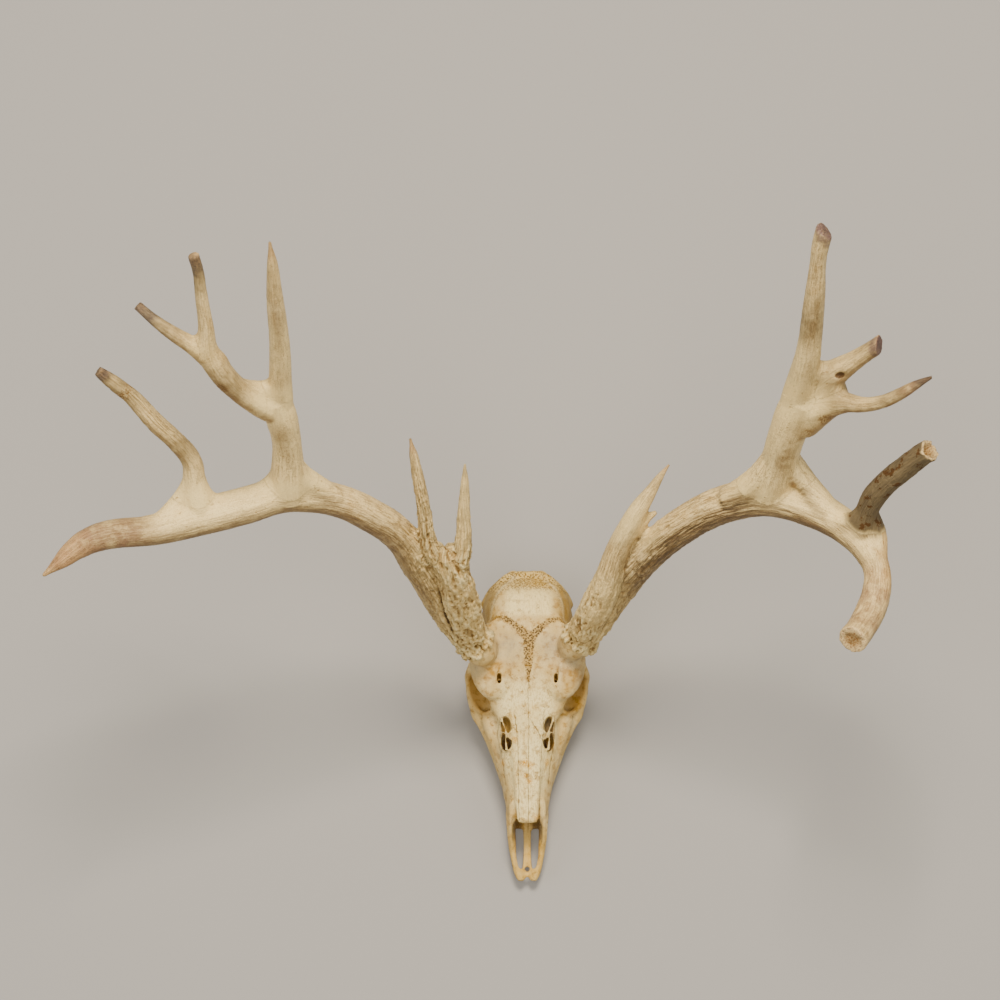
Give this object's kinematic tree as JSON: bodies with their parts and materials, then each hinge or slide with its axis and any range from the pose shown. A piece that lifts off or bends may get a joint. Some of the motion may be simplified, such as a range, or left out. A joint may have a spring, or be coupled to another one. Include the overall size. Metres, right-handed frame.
{
  "type": "mule deer skull",
  "caption": "Cleaned mule deer buck skull with forked antlers and no lower jaw, standing on its cheek teeth; some tine ends are broken off. For display or study.",
  "frame": {"origin": "centre of the box around the whole part, at the surface it stands on", "axes": "nose towards -Y, top of the head towards +Z, the animal's left side towards +X"},
  "size_m": [0.7606, 0.4184, 0.6538],
  "materials": {
    "bone": "dry cleaned bone, cream on the nose and brain case, beige on the forehead, tan and finely porous at the nape",
    "antler": "antler: pale and gnarled at the base, honey tan with dark lengthwise grooves on the beam, smooth and cream at the forks, and one weathered grey-brown tine",
    "tooth_enamel": "worn ivory enamel with brown stain in the folds"
  },
  "bodies": {
    "root": {"skull": "bone", "right_premolar_2": "tooth_enamel", "right_premolar_3": "tooth_enamel", "right_premolar_4": "tooth_enamel", "right_molar_1": "tooth_enamel", "right_molar_2": "tooth_enamel", "right_molar_3": "tooth_enamel", "left_premolar_2": "tooth_enamel", "left_premolar_3": "tooth_enamel", "left_premolar_4": "tooth_enamel", "left_molar_1": "tooth_enamel", "left_molar_2": "tooth_enamel", "left_molar_3": "tooth_enamel", "right_antler_beam": "antler", "right_antler_brow_tines": "antler", "right_antler_fork_stem": "antler", "right_antler_fork_inner_tine": "antler", "right_antler_fork_outer_tine": "antler", "right_antler_fork_low_tine": "antler", "right_antler_rear_tine": "antler", "left_antler_beam": "antler", "left_antler_beam_end": "antler", "left_antler_brow_tine": "antler", "left_antler_fork_stem": "antler", "left_antler_fork_upright_tine": "antler", "left_antler_fork_middle_tine": "antler", "left_antler_fork_outer_tine": "antler", "left_antler_dark_tine": "antler"}
  },
  "joints": []
}
